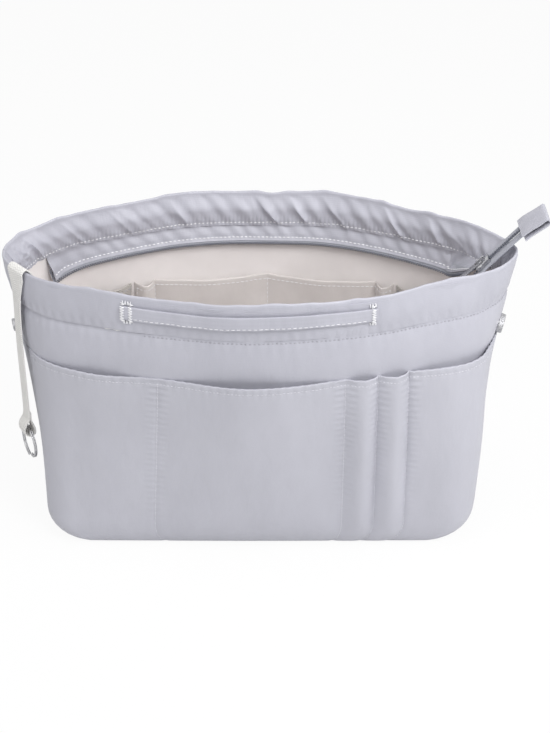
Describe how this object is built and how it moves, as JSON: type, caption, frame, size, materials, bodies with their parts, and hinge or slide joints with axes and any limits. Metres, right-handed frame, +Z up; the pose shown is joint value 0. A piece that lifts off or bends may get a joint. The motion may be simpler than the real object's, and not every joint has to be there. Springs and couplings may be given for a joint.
{
  "type": "purse organizer insert",
  "caption": "Soft zip-top organizer insert for a handbag, with pockets outside and inside, snaps at both ends and a strap with a split ring for keys.",
  "frame": {"origin": "middle of the base, on the surface that it stands on", "axes": "+Z up, +X to the right along the length, the front with its five pockets faces -Y"},
  "size_m": [0.3557, 0.1865, 0.2302],
  "materials": {
    "satin": "silver-lavender satin with a soft sheen",
    "lining": "pale plain-weave lining",
    "mesh": "fine mesh",
    "foam": "foam stiffener",
    "board": "stiff board",
    "tape": "woven zip tape",
    "coil": "nylon coil",
    "webbing": "off-white webbing",
    "metal": "polished nickel plate"
  },
  "bodies": {
    "organizer": {"front_panel": "satin", "back_panel": "satin", "bottom_panel": "satin", "front_stiffener": "foam", "back_stiffener": "foam", "base_board": "board", "front_lining": "lining", "back_lining": "lining", "bottom_lining": "lining", "front_pocket_panel": "satin", "left_pocket_panel": "satin", "back_pocket_panel": "satin", "facing_front": "satin", "facing_back": "satin", "grab_strip_front": "satin", "grab_strip_back": "satin", "zip_strip_front": "satin", "zip_strip_back": "satin", "zip_tape_front": "tape", "zip_tape_back": "tape", "zip_coil_front": "coil", "zip_coil_back": "coil", "zip_end_tab": "satin", "inner_pocket_row": "lining", "mesh_pocket_left": "mesh", "mesh_pocket_right": "mesh", "key_strap_root": "webbing", "snap_left_stud": "metal", "snap_cap_left_stud": "metal", "snap_left_socket": "metal", "snap_cap_left_socket": "metal", "snap_right_socket": "metal", "snap_cap_right_socket": "metal", "snap_right_stud": "metal", "snap_cap_right_stud": "metal"},
    "slider": {"zip_slider": "metal"},
    "pull": {"zip_pull": "metal"},
    "strap": {"key_strap": "webbing"},
    "ring": {"key_ring": "metal"}
  },
  "joints": [
    {"name": "zip_slide", "type": "slide", "parent": "organizer", "child": "slider", "axis": [0.6691, 0, 0.7431], "range_m": [0, 0.026], "deforming": ["zip_coil_front", "zip_coil_back"]},
    {"name": "pull_swing", "type": "hinge", "parent": "slider", "child": "pull", "pos_m": [0.14799, 0, 0.19031], "axis": [0, 1, 0], "range_deg": [0, 170]},
    {"name": "strap_swing", "type": "hinge", "parent": "organizer", "child": "strap", "pos_m": [-0.15897, -0.03059, 0.19267], "axis": [-0.309, 0.9511, 0], "range_deg": [0, 85]},
    {"name": "ring_swing", "type": "hinge", "parent": "strap", "child": "ring", "pos_m": [-0.15897, -0.03059, 0.07831], "axis": [-0.309, 0.9511, 0], "range_deg": [0, 60]}
  ]
}
